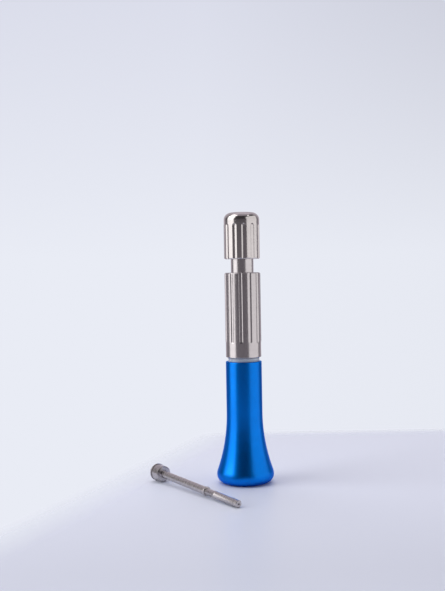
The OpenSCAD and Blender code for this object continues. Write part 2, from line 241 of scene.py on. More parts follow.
def turned(outline, steps=192, closed=True, opening=0.0):
    """Spins an outline, in millimetres, about the axis of the tool. An opening, in degrees, lies at +Y."""
    bm = bmesh.new()
    worn = bm.verts.layers.float.new("worn")
    verts = []
    for point in outline:
        vert = bm.verts.new((point[0], 0.0, point[1]))
        vert[worn] = point[2] if len(point) > 2 else 0.0
        verts.append(vert)
    edges = [bm.edges.new(pair) for pair in zip(verts, verts[1:])]
    if closed:
        edges.append(bm.edges.new((verts[-1], verts[0])))
    turn = Matrix.Rotation(math.radians(90 + opening / 2) if opening else 0.0, 3, "Z")
    bmesh.ops.rotate(bm, verts=verts, cent=(0, 0, 0), matrix=turn)
    bmesh.ops.spin(bm, geom=verts + edges, cent=(0, 0, 0), axis=(0, 0, 1),
                   angle=math.radians(360 - opening), steps=steps, use_merge=not opening)
    if opening:
        bmesh.ops.holes_fill(bm, edges=[e for e in bm.edges if e.is_boundary])
    bmesh.ops.remove_doubles(bm, verts=bm.verts, dist=1e-4)
    bmesh.ops.recalc_face_normals(bm, faces=bm.faces)
    return bm


def soft_min(a, b, blend):
    """The smaller of two values, with the corner where they meet rounded over the blend."""
    gap = max(blend - abs(a - b), 0.0) / blend
    return min(a, b) - gap * gap * blend / 4


def crowded(off, pitch, edge):
    """Moves a column of points sideways, so that most of them lie in the flute and close to its edge."""
    half, in_flute, power = STEPS_PER_FLUTE / 2, 8, 1.6
    station = abs(off) / (pitch / 2) * half
    if station <= in_flute:
        moved = edge * (1 - (1 - station / in_flute) ** power)
    else:
        moved = edge + (pitch / 2 - edge) * ((station - in_flute) / (half - in_flute)) ** power
    return math.copysign(moved, off)


def flute(bm, radius, cut_r, cut_d, ball_z, upwards, count, turn, ease):
    """Cuts ball-nosed flutes into a turned wall. A flute runs up or down from its ball end at ball_z."""
    inner_wall, outer_skin, wear_reach = radius - 1.2, radius - 0.5, 2.5 * ease
    worn = bm.verts.layers.float["worn"]
    centre = radius + cut_r - cut_d
    pitch = 2 * math.pi / count
    edge = math.acos((centre ** 2 + radius ** 2 - cut_r ** 2) / (2 * centre * radius))
    for vert in bm.verts:
        r = math.hypot(vert.co.x, vert.co.y)
        if r < inner_wall:
            continue
        around = math.atan2(vert.co.y, vert.co.x)
        index = round(around / pitch)
        off = crowded(around - index * pitch, pitch, edge)
        around = index * pitch + off + turn
        past = max((ball_z - vert.co.z) if upwards else (vert.co.z - ball_z), 0.0)
        inside = cut_r ** 2 - (centre * math.sin(off)) ** 2 - past ** 2
        if inside > 0:
            cut = centre * math.cos(off) - math.sqrt(inside)
            new_r = soft_min(r, cut, ease)
            if r > outer_skin:
                vert[worn] = max(vert[worn], 1.0 - min(abs(r - cut) / wear_reach, 1.0))
            r = new_r
        vert.co.x = r * math.cos(around)
        vert.co.y = r * math.sin(around)


def thread(bm, radius, z_from, z_to, pitch, depth, inward):
    """Works a single-start thread into the wall at that radius. It fades out at both ends."""
    run_out, steep, crest = 0.6 * pitch, 1.6, 0.3
    for vert in bm.verts:
        r = math.hypot(vert.co.x, vert.co.y)
        if abs(r - radius) > 0.01 or not z_from <= vert.co.z <= z_to:
            continue
        around = math.atan2(vert.co.y, vert.co.x)
        phase = (vert.co.z / pitch - around / (2 * math.pi)) % 1.0
        groove = min(max(steep * (1 - abs(2 * phase - 1)) - crest, 0.0), 1.0)
        fade = min((vert.co.z - z_from) / run_out, (z_to - vert.co.z) / run_out, 1.0)
        move = depth * groove * fade * (-1 if inward else 1)
        vert.co.x *= (r + move) / r
        vert.co.y *= (r + move) / r


def pockets(bm, rim_z, rim_r, loops, depth):
    """Closes the open rim at rim_z with a face that has a pocket under each loop of edges."""

    def on_rim(vert):
        return abs(vert.co.z - rim_z) < 1e-4 and abs(vert.co.xy.length - rim_r) < 1e-3

    rim = [e for e in bm.edges if e.is_boundary and all(on_rim(v) for v in e.verts)]
    edges = rim + [e for loop in loops for e in loop]
    bmesh.ops.triangle_fill(bm, edges=edges, use_beauty=True, normal=(0, 0, -1))
    for loop in loops:
        made = bmesh.ops.extrude_edge_only(bm, edges=loop)["geom"]
        walls = [g for g in made if isinstance(g, bmesh.types.BMVert)]
        floor = [g for g in made if isinstance(g, bmesh.types.BMEdge)]
        bmesh.ops.translate(bm, verts=walls, vec=(0, 0, depth))
        bmesh.ops.edgeloop_fill(bm, edges=[e for e in floor if e.is_boundary])
    bmesh.ops.recalc_face_normals(bm, faces=bm.faces)


def circle_loop(bm, x, y, z, radius, segments):
    """A flat ring of edges."""
    made = bmesh.ops.create_circle(bm, segments=segments, radius=radius, matrix=Matrix.Translation((x, y, z)))
    return list({e for v in made["verts"] for e in v.link_edges})


def box_loop(bm, half_x, half_y, z):
    """A flat rectangle of edges about the axis."""
    corners = [bm.verts.new((sx * half_x, sy * half_y, z)) for sx, sy in ((-1, -1), (1, -1), (1, 1), (-1, 1))]
    return [bm.edges.new((corners[i], corners[(i + 1) % 4])) for i in range(4)]


def add_piece(bm, name, body, slot, replaced, place=None):
    """Makes the object of a piece that was modelled in millimetres, and has it ride on its body."""
    bmesh.ops.scale(bm, verts=bm.verts, vec=(MM, MM, MM))
    if place is not None:
        bmesh.ops.transform(bm, verts=bm.verts, matrix=place)
    for face in bm.faces:
        face.smooth = True
    for edge in bm.edges:
        edge.smooth = edge.calc_face_angle(0.0) < CREASE
    mesh = bpy.data.meshes.new(name)
    bm.to_mesh(mesh)
    bm.free()
    mesh.materials.append(finish_of(slot))
    piece = bpy.data.objects.new(name, mesh)
    bpy.context.scene.collection.objects.link(piece)
    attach(piece, body)
    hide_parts(*replaced)


# ---- shared effects -------------------------------------------------------------


class Nodes:
    """Adds and links the nodes of one tree."""

    def __init__(self, tree):
        self.tree = tree

    def add(self, kind, **settings):
        node = self.tree.nodes.new(kind)
        for key, value in settings.items():
            setattr(node, key, value)
        return node

    def set(self, socket, value):
        if isinstance(value, bpy.types.NodeSocket):
            self.tree.links.new(value, socket)
        else:
            socket.default_value = value

    def math(self, operation, *values, clamp=False):
        node = self.add("ShaderNodeMath", operation=operation, use_clamp=clamp)
        for socket, value in zip(node.inputs, values):
            self.set(socket, value)
        return node.outputs[0]

    def noise(self, vector, scale, detail=2.0, roughness=0.5):
        node = self.add("ShaderNodeTexNoise")
        self.set(node.inputs["Vector"], vector)
        self.set(node.inputs["Scale"], scale)
        node.inputs["Detail"].default_value = detail
        node.inputs["Roughness"].default_value = roughness
        return node.outputs["Fac"]

    def ramp(self, value, low_at, high_at, low_to=0.0, high_to=1.0):
        node = self.add("ShaderNodeMapRange", clamp=True)
        for name, given in (("Value", value), ("From Min", low_at), ("From Max", high_at),
                            ("To Min", low_to), ("To Max", high_to)):
            self.set(node.inputs[name], given)
        return node.outputs["Result"]

    def mix(self, factor, a, b):
        node = self.add("ShaderNodeMix", data_type="RGBA")
        self.set(node.inputs["Factor"], factor)
        self.set(node.inputs[6], a)
        self.set(node.inputs[7], b)
        return node.outputs[2]

    def scaled(self, vector, factors):
        node = self.add("ShaderNodeVectorMath", operation="MULTIPLY")
        self.set(node.inputs[0], vector)
        self.set(node.inputs[1], factors)
        return node.outputs[0]


def new_group(name, inputs, outputs):
    """A shader node group with float inputs {name: default}, a Vector input, and float outputs."""
    tree = bpy.data.node_groups.new(name, "ShaderNodeTree")
    tree.interface.new_socket("Vector", in_out="INPUT", socket_type="NodeSocketVector")
    for key, value in inputs.items():
        socket = tree.interface.new_socket(key, in_out="INPUT", socket_type="NodeSocketFloat")
        socket.default_value = value
    for key in outputs:
        tree.interface.new_socket(key, in_out="OUTPUT", socket_type="NodeSocketFloat")
    nodes = Nodes(tree)
    return tree, nodes, nodes.add("NodeGroupInput").outputs, nodes.add("NodeGroupOutput").inputs


def turning_group():
    """Fine rings left by the lathe: height of the tool marks and how strongly they streak."""
    if "Turning marks" in bpy.data.node_groups:
        return bpy.data.node_groups["Turning marks"]
    tree, n, given, out = new_group("Turning marks", {"Pitch": 0.00012, "Drift": 90.0}, ("Height", "Streak"))
    split = n.add("ShaderNodeSeparateXYZ")
    n.set(split.inputs[0], given["Vector"])
    x, y, z = split.outputs
    radius = n.math("SQRT", n.math("ADD", n.math("MULTIPLY", x, x), n.math("MULTIPLY", y, y)))
    along = n.math("DIVIDE", n.math("ADD", z, n.math("MULTIPLY", radius, 1.7)), given["Pitch"])
    joined = n.add("ShaderNodeCombineXYZ")
    n.set(joined.inputs[0], n.math("MULTIPLY", x, given["Drift"]))
    n.set(joined.inputs[1], n.math("MULTIPLY", y, given["Drift"]))
    n.set(joined.inputs[2], along)
    fine = n.noise(joined.outputs[0], 1.0, 1.0)
    coarse = n.noise(n.scaled(joined.outputs[0], (0.6, 0.6, 0.17)), 1.0, 1.0)
    height = n.math("ADD", n.math("MULTIPLY", fine, 0.6), n.math("MULTIPLY", coarse, 0.8))
    n.set(out["Height"], height)
    n.set(out["Streak"], n.ramp(height, 0.45, 0.95))
    return tree


def handling_group():
    """What handling leaves: wide soft smudges, and fine specks of dust."""
    if "Handling" in bpy.data.node_groups:
        return bpy.data.node_groups["Handling"]
    tree, n, given, out = new_group("Handling", {"Size": 260.0}, ("Smudge", "Speck"))
    wide = n.noise(given["Vector"], given["Size"], 4.0, 0.62)
    n.set(out["Smudge"], n.ramp(wide, 0.38, 0.68))
    dots = n.add("ShaderNodeTexVoronoi")
    n.set(dots.inputs["Vector"], given["Vector"])
    dots.inputs["Scale"].default_value = 900.0
    near = n.ramp(dots.outputs["Distance"], 0.05, 0.11, 1.0, 0.0)
    patchy = n.ramp(n.noise(given["Vector"], 420.0, 2.0), 0.56, 0.66)
    n.set(out["Speck"], n.math("MULTIPLY", near, patchy))
    return tree


def rubbed_group():
    """Mask of edges where the finish is rubbed, from the edge mark and broken up by noise."""
    if "Rubbed edges" in bpy.data.node_groups:
        return bpy.data.node_groups["Rubbed edges"]
    tree, n, given, out = new_group("Rubbed edges", {"Edge": 0.0, "Wear": 0.5}, ("Mask",))
    broken = n.ramp(n.noise(given["Vector"], 1500.0, 3.0, 0.65), 0.30, 0.62)
    bare = n.math("MULTIPLY", given["Edge"], broken)
    n.set(out["Mask"], n.math("MULTIPLY", bare, given["Wear"], clamp=True))
    return tree


def use_group(n, tree, vector, **values):
    node = n.add("ShaderNodeGroup", node_tree=tree)
    n.set(node.inputs["Vector"], vector)
    for key, value in values.items():
        n.set(node.inputs[key], value)
    return node.outputs


# ---- materials ------------------------------------------------------------------


def darker(colour, factor):
    """A colour with its alpha, dimmed by a factor."""
    return (*[c * factor for c in colour], 1.0)


def metal(name, colour, bare, roughness, pitch, depth, coat=0.0, place=None, edge_tint=None):
    """A turned metal finish: tool marks, smudges, dust and edges rubbed towards the bare colour."""
    if name in bpy.data.materials:
        return bpy.data.materials[name]
    material = bpy.data.materials.new(name)
    material.use_nodes = True
    n = Nodes(material.node_tree)
    shader = material.node_tree.nodes["Principled BSDF"]
    vector = n.add("ShaderNodeTexCoord").outputs["Object"]
    if place is not None:
        mapping = n.add("ShaderNodeMapping", vector_type="TEXTURE")
        n.set(mapping.inputs["Vector"], vector)
        mapping.inputs["Location"].default_value = place.to_translation()
        mapping.inputs["Rotation"].default_value = place.to_euler()
        vector = mapping.outputs[0]
    marks = use_group(n, turning_group(), vector, Pitch=pitch)
    hands = use_group(n, handling_group(), vector)
    edge = n.add("ShaderNodeAttribute", attribute_name="worn").outputs["Fac"]
    wear = bpy.context.scene.driver_finishes.wear
    rubbed = use_group(n, rubbed_group(), vector, Edge=edge, Wear=wear)["Mask"]
    plain = n.mix(hands["Smudge"], (*colour, 1.0), darker(colour, 0.94))
    streaked = n.mix(n.math("MULTIPLY", marks["Streak"], 0.2), plain, darker(colour, 0.9))
    worn = n.mix(rubbed, streaked, (*bare, 1.0))
    dusty = n.mix(n.math("MULTIPLY", hands["Speck"], 0.15), worn, (0.62, 0.62, 0.62, 1.0))
    n.set(shader.inputs["Base Color"], dusty)
    shader.inputs["Metallic"].default_value = 1.0
    rough = n.math("ADD", n.math("MULTIPLY", hands["Smudge"], 0.03), roughness)
    rough = n.math("ADD", rough, n.math("MULTIPLY", marks["Streak"], 0.04))
    rough = n.math("ADD", rough, n.math("MULTIPLY", hands["Speck"], 0.08))
    n.set(shader.inputs["Roughness"], n.math("SUBTRACT", rough, n.math("MULTIPLY", rubbed, 0.05), clamp=True))
    shader.inputs["Coat Weight"].default_value = coat
    shader.inputs["Coat Roughness"].default_value = 0.12
    if edge_tint is not None:
        shader.inputs["Specular Tint"].default_value = (*edge_tint, 1.0)
    bump = n.add("ShaderNodeBump")
    bump.inputs["Strength"].default_value = 1.0
    bump.inputs["Distance"].default_value = depth
    n.set(bump.inputs["Height"], marks["Height"])
    n.set(shader.inputs["Normal"], bump.outputs[0])
    return material


def soft_matte(name, colour, roughness, subsurface=0.0):
    """A plastic or rubber finish with mottling, faint turning marks and dust."""
    if name in bpy.data.materials:
        return bpy.data.materials[name]
    material = bpy.data.materials.new(name)
    material.use_nodes = True
    n = Nodes(material.node_tree)
    shader = material.node_tree.nodes["Principled BSDF"]
    vector = n.add("ShaderNodeTexCoord").outputs["Object"]
    marks = use_group(n, turning_group(), vector, Pitch=0.18 * MM)
    hands = use_group(n, handling_group(), vector, Size=420.0)
    base = n.mix(hands["Smudge"], (*colour, 1.0), darker(colour, 0.82))
    dusty = n.mix(n.math("MULTIPLY", hands["Speck"], 0.4), base, (0.4, 0.4, 0.4, 1.0))
    n.set(shader.inputs["Base Color"], dusty)
    n.set(shader.inputs["Roughness"], n.math("ADD", n.math("MULTIPLY", hands["Smudge"], 0.12), roughness))
    shader.inputs["Subsurface Weight"].default_value = subsurface
    shader.inputs["Subsurface Radius"].default_value = (0.8 * MM, 0.9 * MM, 1.0 * MM)
    shader.inputs["Subsurface Scale"].default_value = 1.0
    bump = n.add("ShaderNodeBump")
    bump.inputs["Distance"].default_value = 3 * MICRON
    n.set(bump.inputs["Height"], marks["Height"])
    n.set(shader.inputs["Normal"], bump.outputs[0])
    return material


def blue_anodised(finishes):
    """Dyed oxide on the palm grip and its plug"""
    return metal("Blue anodised aluminium", finishes.blue, bare=(0.02, 0.30, 0.85), roughness=0.30,
                 pitch=0.14 * MM, depth=0.15 * MICRON, coat=0.12, edge_tint=(0.0, 0.5, 0.85))


def satin_nickel(finishes):
    """Satin plate on the barrel"""
    return metal("Satin nickel plate", finishes.barrel_nickel, bare=(0.70, 0.67, 0.67), roughness=0.19,
                 pitch=0.11 * MM, depth=0.08 * MICRON)


def bright_nickel(finishes):
    """Polished plate on the cap"""
    return metal("Bright nickel plate", finishes.cap_nickel, bare=(0.80, 0.76, 0.74), roughness=0.13,
                 pitch=0.10 * MM, depth=0.06 * MICRON)


def brushed_nickel(finishes):
    """Fine turned plate on the spindle"""
    return metal("Fine turned nickel", finishes.neck_nickel, bare=(0.74, 0.72, 0.70), roughness=0.2,
                 pitch=0.16 * MM, depth=0.15 * MICRON)


def bit_steel(finishes):
    """Ground tool steel, with its marks round the axis of the lying bit"""
    return metal("Ground tool steel", finishes.bit_steel, bare=(0.62, 0.60, 0.60), roughness=0.24,
                 pitch=0.12 * MM, depth=0.12 * MICRON, place=bit_place())


def spring_steel(finishes):
    """Oiled steel of circlips, screws and keys"""
    return metal("Oiled spring steel", finishes.spring_steel, bare=(0.5, 0.5, 0.5), roughness=0.32,
                 pitch=0.15 * MM, depth=1.5 * MICRON)


def bearing_steel(finishes):
    """Polished steel of rings and balls"""
    return metal("Polished bearing steel", finishes.bearing_steel, bare=(0.75, 0.75, 0.76), roughness=0.12,
                 pitch=0.09 * MM, depth=0.5 * MICRON)


def plain_aluminium(finishes):
    """Turned aluminium of the spacers"""
    return metal("Turned aluminium", finishes.aluminium, bare=(0.8, 0.8, 0.81), roughness=0.34,
                 pitch=0.20 * MM, depth=2.4 * MICRON)


def cage_brass(finishes):
    """Drilled brass of the ball cages"""
    return metal("Drilled brass", finishes.brass, bare=(0.85, 0.65, 0.32), roughness=0.28,
                 pitch=0.14 * MM, depth=1.4 * MICRON)


def white_nylon(finishes):
    """Translucent plastic of the slip washer"""
    return soft_matte("White nylon", finishes.nylon, 0.42, 0.6)


def black_rubber(finishes):
    """Rubber of the plug's seal"""
    return soft_matte("Black seal rubber", finishes.rubber, 0.6)


FINISHES = {
    "blue_anodised": blue_anodised,
    "satin_nickel": satin_nickel,
    "bright_nickel": bright_nickel,
    "brushed_nickel": brushed_nickel,
    "bit_steel": bit_steel,
    "spring_steel": spring_steel,
    "bearing_steel": bearing_steel,
    "plain_aluminium": plain_aluminium,
    "cage_brass": cage_brass,
    "white_nylon": white_nylon,
    "black_rubber": black_rubber,
}


def finish_of(slot):
    """The material for a slot of the record."""
    return FINISHES[slot](bpy.context.scene.driver_finishes)


def bit_place():
    """Where the bit lies: on its flange and on the end of its tip."""
    s = bpy.context.scene.driver_sizes
    rim, chamfer = FLANGE_RIM * MM, TIP_CHAMFER * MM
    tilt = math.atan((s.bit_flange_r - s.bit_tip_r) / (s.bit_length - chamfer - rim))
    height = rim * math.sin(tilt) + s.bit_flange_r * math.cos(tilt)
    lean = Matrix.Rotation(math.pi / 2 + tilt, 4, "Y")
    return Matrix.Translation((s.bit_x, s.bit_y, height)) @ Matrix.Rotation(s.bit_heading, 4, "Z") @ lean


# ---- operators ------------------------------------------------------------------


class DRIVER_OT_palm_grip(bpy.types.Operator):
    """Blue swivel grip with its flared foot, and the plug that closes it"""

    bl_idname = "driver.palm_grip"
    bl_label = "Palm Grip"

    plug_r = 5.0
    plug_roof = 4.0

    def execute(self, context):
        self.shell(context.scene.driver_sizes)
        self.plug()
        return {"FINISHED"}

    def shell(self, s):
        tube, flare, foot = s.tube_r / MM, s.flare_r / MM, s.flare_z / MM
        edge, sweep, top = s.flare_edge_r / MM, s.sweep_r / MM, high("palm_grip").z / MM
        clip_lo, clip_hi = low("bearing_circlip").z / MM, high("bearing_circlip").z / MM
        bearing, mouth, lip = 4.0, 3.3, 1.0
        groove = bearing + 0.4
        edge_x, sweep_x = flare - edge, tube + sweep
        sweep_z = foot + math.sqrt((sweep + edge) ** 2 - (sweep_x - edge_x) ** 2)
        lean = math.degrees(math.atan2(sweep_z - foot, sweep_x - edge_x))
        outer = arc(flare - foot, foot, foot, -90, 0, 20)
        outer += arc(edge_x, foot, edge, 0, lean, 8)[1:]
        outer += arc(sweep_x, sweep_z, sweep, 180 + lean, 180, 30)[1:]
        inner = [(tube, top, 0.15), (mouth, top, 0.1), (mouth, top - lip, 0.05), (bearing, top - lip)]
        inner += [(bearing, clip_hi), (groove, clip_hi), (groove, clip_lo), (bearing, clip_lo)]
        inner += [(bearing, self.plug_roof, 0.05), (self.plug_r, self.plug_roof), (self.plug_r, 0.0, 0.1)]
        bm = turned(eased([(*p, 0.0) for p in outer] + inner))
        add_piece(bm, "palm_grip_shell", "grip", "blue_anodised", ["palm_grip"])

    def plug(self):
        spigot, shoulder, rim = 4.0, 3.0, 4.5
        hole_r, hole_x, hole_d = 0.6, 3.0, 1.4
        roof = self.plug_roof + 0.2
        corners = [(0.0, roof), (spigot, roof, 0.1), (spigot, shoulder), (self.plug_r, shoulder, 0.05)]
        corners += [(self.plug_r, 0.0, 0.12), (rim, 0.0)]
        bm = turned(eased(corners, closed=False), closed=False)
        loops = [circle_loop(bm, side * hole_x, 0, 0.0, hole_r, 32) for side in (-1, 1)]
        pockets(bm, 0.0, rim, loops, hole_d)
        add_piece(bm, "palm_plug", "grip", "blue_anodised", ["base_plug"])


class DRIVER_OT_slip_washer(bpy.types.Operator):
    """White slip washer between grip and barrel"""

    bl_idname = "driver.slip_washer"
    bl_label = "Slip Washer"

    def execute(self, context):
        lo, hi = (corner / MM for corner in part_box("thrust_washer"))
        hole = 2.9
        bm = turned(eased([(hi.x, lo.z, 0.16), (hi.x, hi.z, 0.16), (hole, hi.z, 0.1), (hole, lo.z, 0.1)]))
        add_piece(bm, "slip_washer", "grip", "white_nylon", ["thrust_washer"])
        return {"FINISHED"}


class DRIVER_OT_barrel(bpy.types.Operator):
    """Fluted barrel that the fingers turn"""

    bl_idname = "driver.barrel"
    bl_label = "Fluted Barrel"

    def execute(self, context):
        s = context.scene.driver_sizes
        lo, hi = (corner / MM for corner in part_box("fluted_barrel"))
        tube, band, neck = s.tube_r / MM, s.band_r / MM, s.neck_r / MM
        cut_r, cut_d = s.barrel_cut_r / MM, s.barrel_cut_d / MM
        start = lo.z + s.band_h / MM
        ball_z = start + math.sqrt(cut_r ** 2 - (tube + cut_r - cut_d - band) ** 2)
        chamfer, nut_r, bore, recess = 0.35, 4.4, 3.02, 5.2
        step_z = start + 0.42
        nut_top, seat = high("barrel_nut").z / MM, hi.z - 1.1
        outer = [(band - 1.6 * chamfer, lo.z, 0.06), (band, lo.z + chamfer, 0.08)]
        outer += rows(start - 0.5, step_z, band, 22) + [(band, step_z), (tube, step_z)]
        outer += rows(step_z, start + 1.6, tube, 16) + rows(start + 1.6, hi.z - 1.2, tube, 4)
        outer += [(tube, hi.z - chamfer, 0.1), (tube - chamfer / 2, hi.z - chamfer / 2)]
        outer += [(tube - chamfer, hi.z, 0.06)]
        inner = [(recess, hi.z), (neck, hi.z, 0.05), (neck, seat), (bore, seat), (bore, nut_top)]
        inner += [(nut_r, nut_top), (nut_r, lo.z, 0.06)]
        bm = turned(eased(outer + inner), steps=STEPS_PER_FLUTE * s.flutes)
        flute(bm, tube, cut_r, cut_d, ball_z, True, s.flutes, s.barrel_turn, s.flute_ease / MM)
        add_piece(bm, "fluted_barrel_sleeve", "spindle", "satin_nickel", ["fluted_barrel"])
        return {"FINISHED"}


class DRIVER_OT_spindle(bpy.types.Operator):
    """Spindle with its neck, threaded nose and socket for the bit"""

    bl_idname = "driver.spindle"
    bl_label = "Spindle"

    def execute(self, context):
        s = context.scene.driver_sizes
        lo, hi = (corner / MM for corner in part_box("spindle"))
        pitch, neck = s.thread_pitch / MM, s.neck_r / MM
        journal, shoulder, seat = 2.0, 2.6, 3.0
        screw, screw_d = 1.0, 6.6
        nose, step, socket, chamfer = 4.5, 3.6, 2.92, 0.3
        slot_z, slot_half = hi.z - 1.3, 0.72
        shoulder_z, seat_z = high("palm_grip").z / MM - 1.0, low("fluted_barrel").z / MM + 0.3
        neck_z, nose_z = high("fluted_barrel").z / MM - 1.1, low("nose_cap").z / MM + 0.3
        thread_lo, nose_hi = nose_z + chamfer, hi.z - 1.0
        thread_hi = nose_hi - chamfer
        floor = low("clamp_ring").z / MM + 1.1 - 4.3
        corners = [(0.0, lo.z + screw_d), (screw, lo.z + screw_d), (screw, lo.z, 0.1), (journal, lo.z, 0.15)]
        corners += [(journal, shoulder_z), (shoulder, shoulder_z, 0.05), (shoulder, seat_z)]
        corners += [(seat, seat_z, 0.1), (seat, neck_z), (neck, neck_z, 0.05)]
        corners += rows(neck_z + 0.1, nose_z, neck, 4) + [(neck, nose_z), (nose - chamfer, nose_z)]
        corners += [(nose, thread_lo)] + rows(thread_lo, thread_hi, nose, 64) + [(nose, thread_hi)]
        corners += [(nose - chamfer, nose_hi), (step, nose_hi, 0.05), (step, hi.z, 0.08)]
        corners += [(socket, hi.z, 0.08), (socket, floor), (0.0, floor)]
        bm = turned(eased(corners, closed=False), steps=144, closed=False)
        thread(bm, nose, thread_lo, thread_hi, pitch, s.thread_depth / MM, True)
        for vert in bm.verts:
            if vert.co.z > slot_z and abs(vert.co.y) < slot_half and vert.co.xy.length > socket - 0.2:
                vert.co.z = slot_z
        add_piece(bm, "spindle_shaft", "spindle", "brushed_nickel", ["spindle"])
        return {"FINISHED"}


class DRIVER_OT_nose_cap(bpy.types.Operator):
    """Domed screw cap that holds the bit"""

    bl_idname = "driver.nose_cap"
    bl_label = "Nose Cap"

    def execute(self, context):
        s = context.scene.driver_sizes
        lo, hi = (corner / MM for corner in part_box("nose_cap"))
        clip_lo, clip_hi = low("clamp_circlip").z / MM, high("clamp_circlip").z / MM
        roof = high("clamp_ring").z / MM + 0.05
        cap, dome, edge, countersink = s.cap_r / MM, s.dome_r / MM, 0.3, 0.5
        cut_r, cut_d = s.cap_cut_r / MM, s.cap_cut_d / MM
        hole, ring, groove, bore = 1.75, 4.1, 4.75, 4.55
        thread_lo, thread_hi = lo.z + 0.3, clip_lo - 0.1
        ball_z = lo.z + s.cap_flute_h / MM - math.sqrt(cut_r ** 2 - (cut_r - cut_d) ** 2)
        outer = [(cap - edge, lo.z, 0.05), (cap - edge / 2, lo.z + edge / 2), (cap, lo.z + edge, 0.1)]
        outer += rows(lo.z + 1.0, ball_z - 0.2, cap, 5) + rows(ball_z - 0.3, ball_z + 0.95, cap, 24)
        outer += arc(cap - dome, hi.z - dome, dome, 0, 90, 18)
        outer += [(hole + countersink, hi.z, 0.05), (hole, hi.z - countersink, 0.05)]
        inner = [(hole, roof), (ring, roof), (ring, clip_hi), (groove, clip_hi)]
        inner += [(groove, clip_lo), (ring, clip_lo), (ring, thread_hi), (bore, thread_hi)]
        inner += rows(thread_hi, thread_lo, bore, 70) + [(bore, thread_lo), (bore + 0.2, lo.z)]
        bm = turned(eased(outer + inner), steps=STEPS_PER_FLUTE * s.flutes)
        thread(bm, bore, thread_lo, thread_hi, s.thread_pitch / MM, s.thread_depth / MM, False)
        flute(bm, cap, cut_r, cut_d, ball_z, False, s.flutes, s.cap_turn, s.flute_ease / MM)
        add_piece(bm, "domed_nose_cap", "cap", "bright_nickel", ["nose_cap"])
        return {"FINISHED"}


class DRIVER_OT_bit(bpy.types.Operator):
    """Loose bit: flanged head, shank, split collar and tip"""

    bl_idname = "driver.bit"
    bl_label = "Bit"

    # Millimetres along the bit from its rear face
    slot_d = 1.15
    head_end = 4.3
    spigot_z = 24.4
    shank_end = 29.4
    collar_z = 29.45
    neck_end = 34.3
    bead_end = 35.6

    # Radii of what goes into the next part
    tenon_r = 1.1
    spigot_r = 0.8
    neck_r = 1.1

    def execute(self, context):
        s = context.scene.driver_sizes
        place = bit_place()
        self.head(s, place)
        self.shank(s, place)
        self.tip(s, place)
        self.collar(s, place)
        return {"FINISHED"}

    def head(self, s, place):
        flange, drum, rear = s.bit_flange_r / MM, 2.65, 2.6
        waist, groove, edge, end = drum - 0.15, drum - 0.12, 0.35, self.head_end
        corners = [(rear, 0.0), (flange, 0.0, 0.1), (flange, FLANGE_RIM, 0.08), (waist, FLANGE_RIM)]
        corners += [(waist, FLANGE_RIM + edge), (drum, FLANGE_RIM + edge, 0.06), (drum, end - 1.1, 0.04)]
        corners += [(groove, end - 1.0), (groove, end - 0.85), (drum, end - 0.75, 0.04)]
        corners += [(drum, end - 0.3, 0.08), (drum - 0.3, end, 0.08), (self.tenon_r, end)]
        corners += [(self.tenon_r, self.slot_d), (0.0, self.slot_d)]
        bm = turned(eased(corners, closed=False), steps=96, closed=False)
        pockets(bm, 0.0, rear, [box_loop(bm, 1.9, 0.6, 0.0)], self.slot_d)
        add_piece(bm, "bit_head_flanged", "bit", "bit_steel", ["bit_head"], place)

    def shank(self, s, place):
        shank, tenon, fillet, end = s.bit_shank_r / MM, self.tenon_r - 0.02, 0.12, self.shank_end
        corners = [(0.0, self.slot_d + 0.02), (tenon, self.slot_d + 0.02), (tenon, self.head_end)]
        corners += [(shank + fillet, self.head_end), (shank, self.head_end + fillet)]
        corners += rows(self.head_end + 0.2, end - 1.0, shank, 8) + [(shank, end, 0.12)]
        corners += [(self.spigot_r, end), (self.spigot_r, self.spigot_z), (0.0, self.spigot_z)]
        bm = turned(eased(corners, closed=False), steps=96, closed=False)
        add_piece(bm, "bit_shank_ground", "bit", "bit_steel", ["bit_shank"], place)

    def tip(self, s, place):
        tip, end, spigot, bead, hole = s.bit_tip_r / MM, s.bit_length / MM, self.spigot_r - 0.01, 1.2, 0.3
        corners = [(0.0, self.spigot_z), (spigot, self.spigot_z), (spigot, self.shank_end)]
        corners += [(self.neck_r, self.shank_end), (self.neck_r, self.neck_end)]
        corners += [(bead, self.neck_end + 0.2, 0.05), (bead, self.bead_end - 0.25, 0.2)]
        corners += [(tip, self.bead_end)]
        corners += [(tip, end - 2.0, 0.03), (tip - 0.08, end - 1.9), (tip - 0.08, end - 1.7)]
        corners += [(tip, end - 1.6, 0.03), (tip, end - TIP_CHAMFER, 0.08), (tip - TIP_CHAMFER, end, 0.06)]
        corners += [(hole, end, 0.04), (hole, end - 1.0), (0.0, end - 1.15)]
        bm = turned(eased(corners, closed=False), steps=96, closed=False)
        add_piece(bm, "bit_tip_ground", "bit", "bit_steel", ["bit_tip"], place)

    def collar(self, s, place):
        outer, bore, top = s.bit_collar_r / MM, self.neck_r + 0.01, self.collar_z + 0.8
        section = eased([(outer, self.collar_z, 0.1), (outer, top, 0.25), (bore, top), (bore, self.collar_z)])
        bm = turned(section, steps=72, opening=22.0)
        down = Matrix.Rotation(-math.pi / 2, 4, "Z")
        add_piece(bm, "bit_collar_split", "bit", "bit_steel", ["bit_collar"], place @ down)


class DRIVER_OT_inner_works(bpy.types.Operator):
    """Finishes of the bearings, spacers, rings and screws inside"""

    bl_idname = "driver.inner_works"
    bl_label = "Inner Works"

    def execute(self, context):
        for part in frame["record"]["subparts"]:
            node = frame["nodes"][part["node"]]
            material = finish_of(part["material_slot"])
            if not node.material_slots:
                node.data.materials.append(material)
            for held in node.material_slots:
                held.material = material
        return {"FINISHED"}


